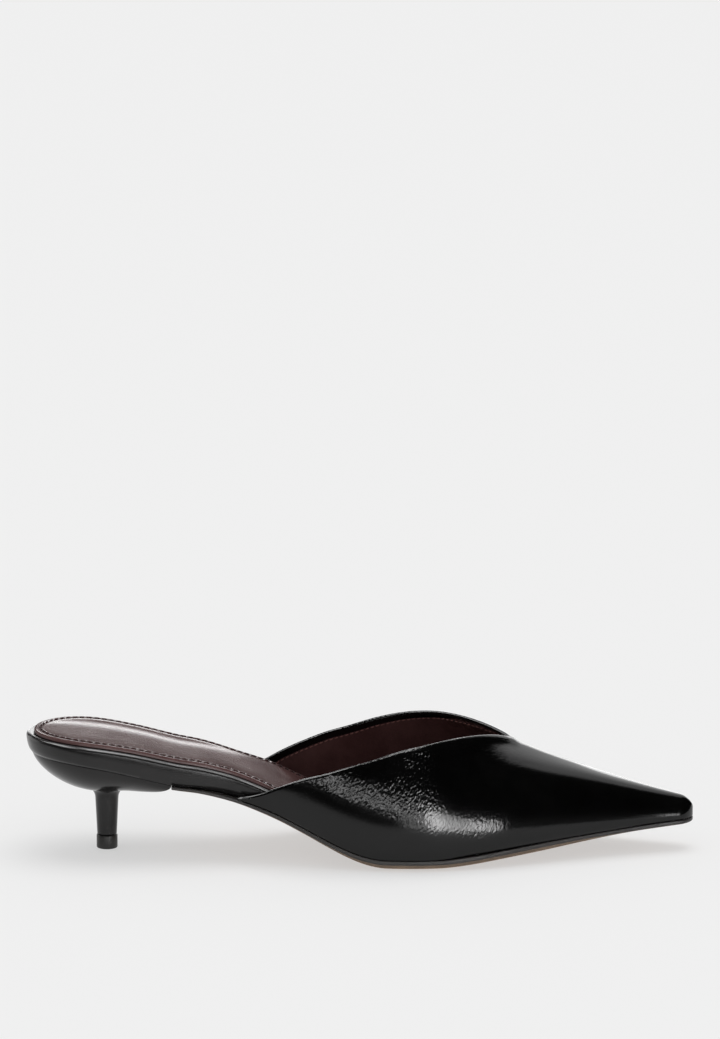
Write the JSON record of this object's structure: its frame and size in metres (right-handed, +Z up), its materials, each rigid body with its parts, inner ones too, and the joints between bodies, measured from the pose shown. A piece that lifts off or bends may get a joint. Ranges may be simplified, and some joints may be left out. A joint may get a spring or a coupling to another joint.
{
  "type": "kitten heel mule",
  "caption": "Pointed toe backless mule with a V throat, side wings, a thin sole and a low slim heel, for one foot.",
  "frame": {"origin": "on the floor, under the middle of the shoe's box", "axes": "+X towards the toe, +Y towards the inner side of the foot, +Z up"},
  "size_m": [0.27, 0.082, 0.051],
  "materials": {
    "upper_leather": "crinkled patent",
    "sole_leather": "waxed edge, tan underside",
    "rim_leather": "smooth semi gloss",
    "insole_leather": "satin",
    "heel_gloss": "gloss lacquer",
    "tip_rubber": "matt"
  },
  "bodies": {
    "root": {"upper": "upper_leather", "outsole": "sole_leather", "footbed": "rim_leather", "insole": "insole_leather", "heel": "heel_gloss", "heel_tip": "tip_rubber"}
  },
  "joints": []
}
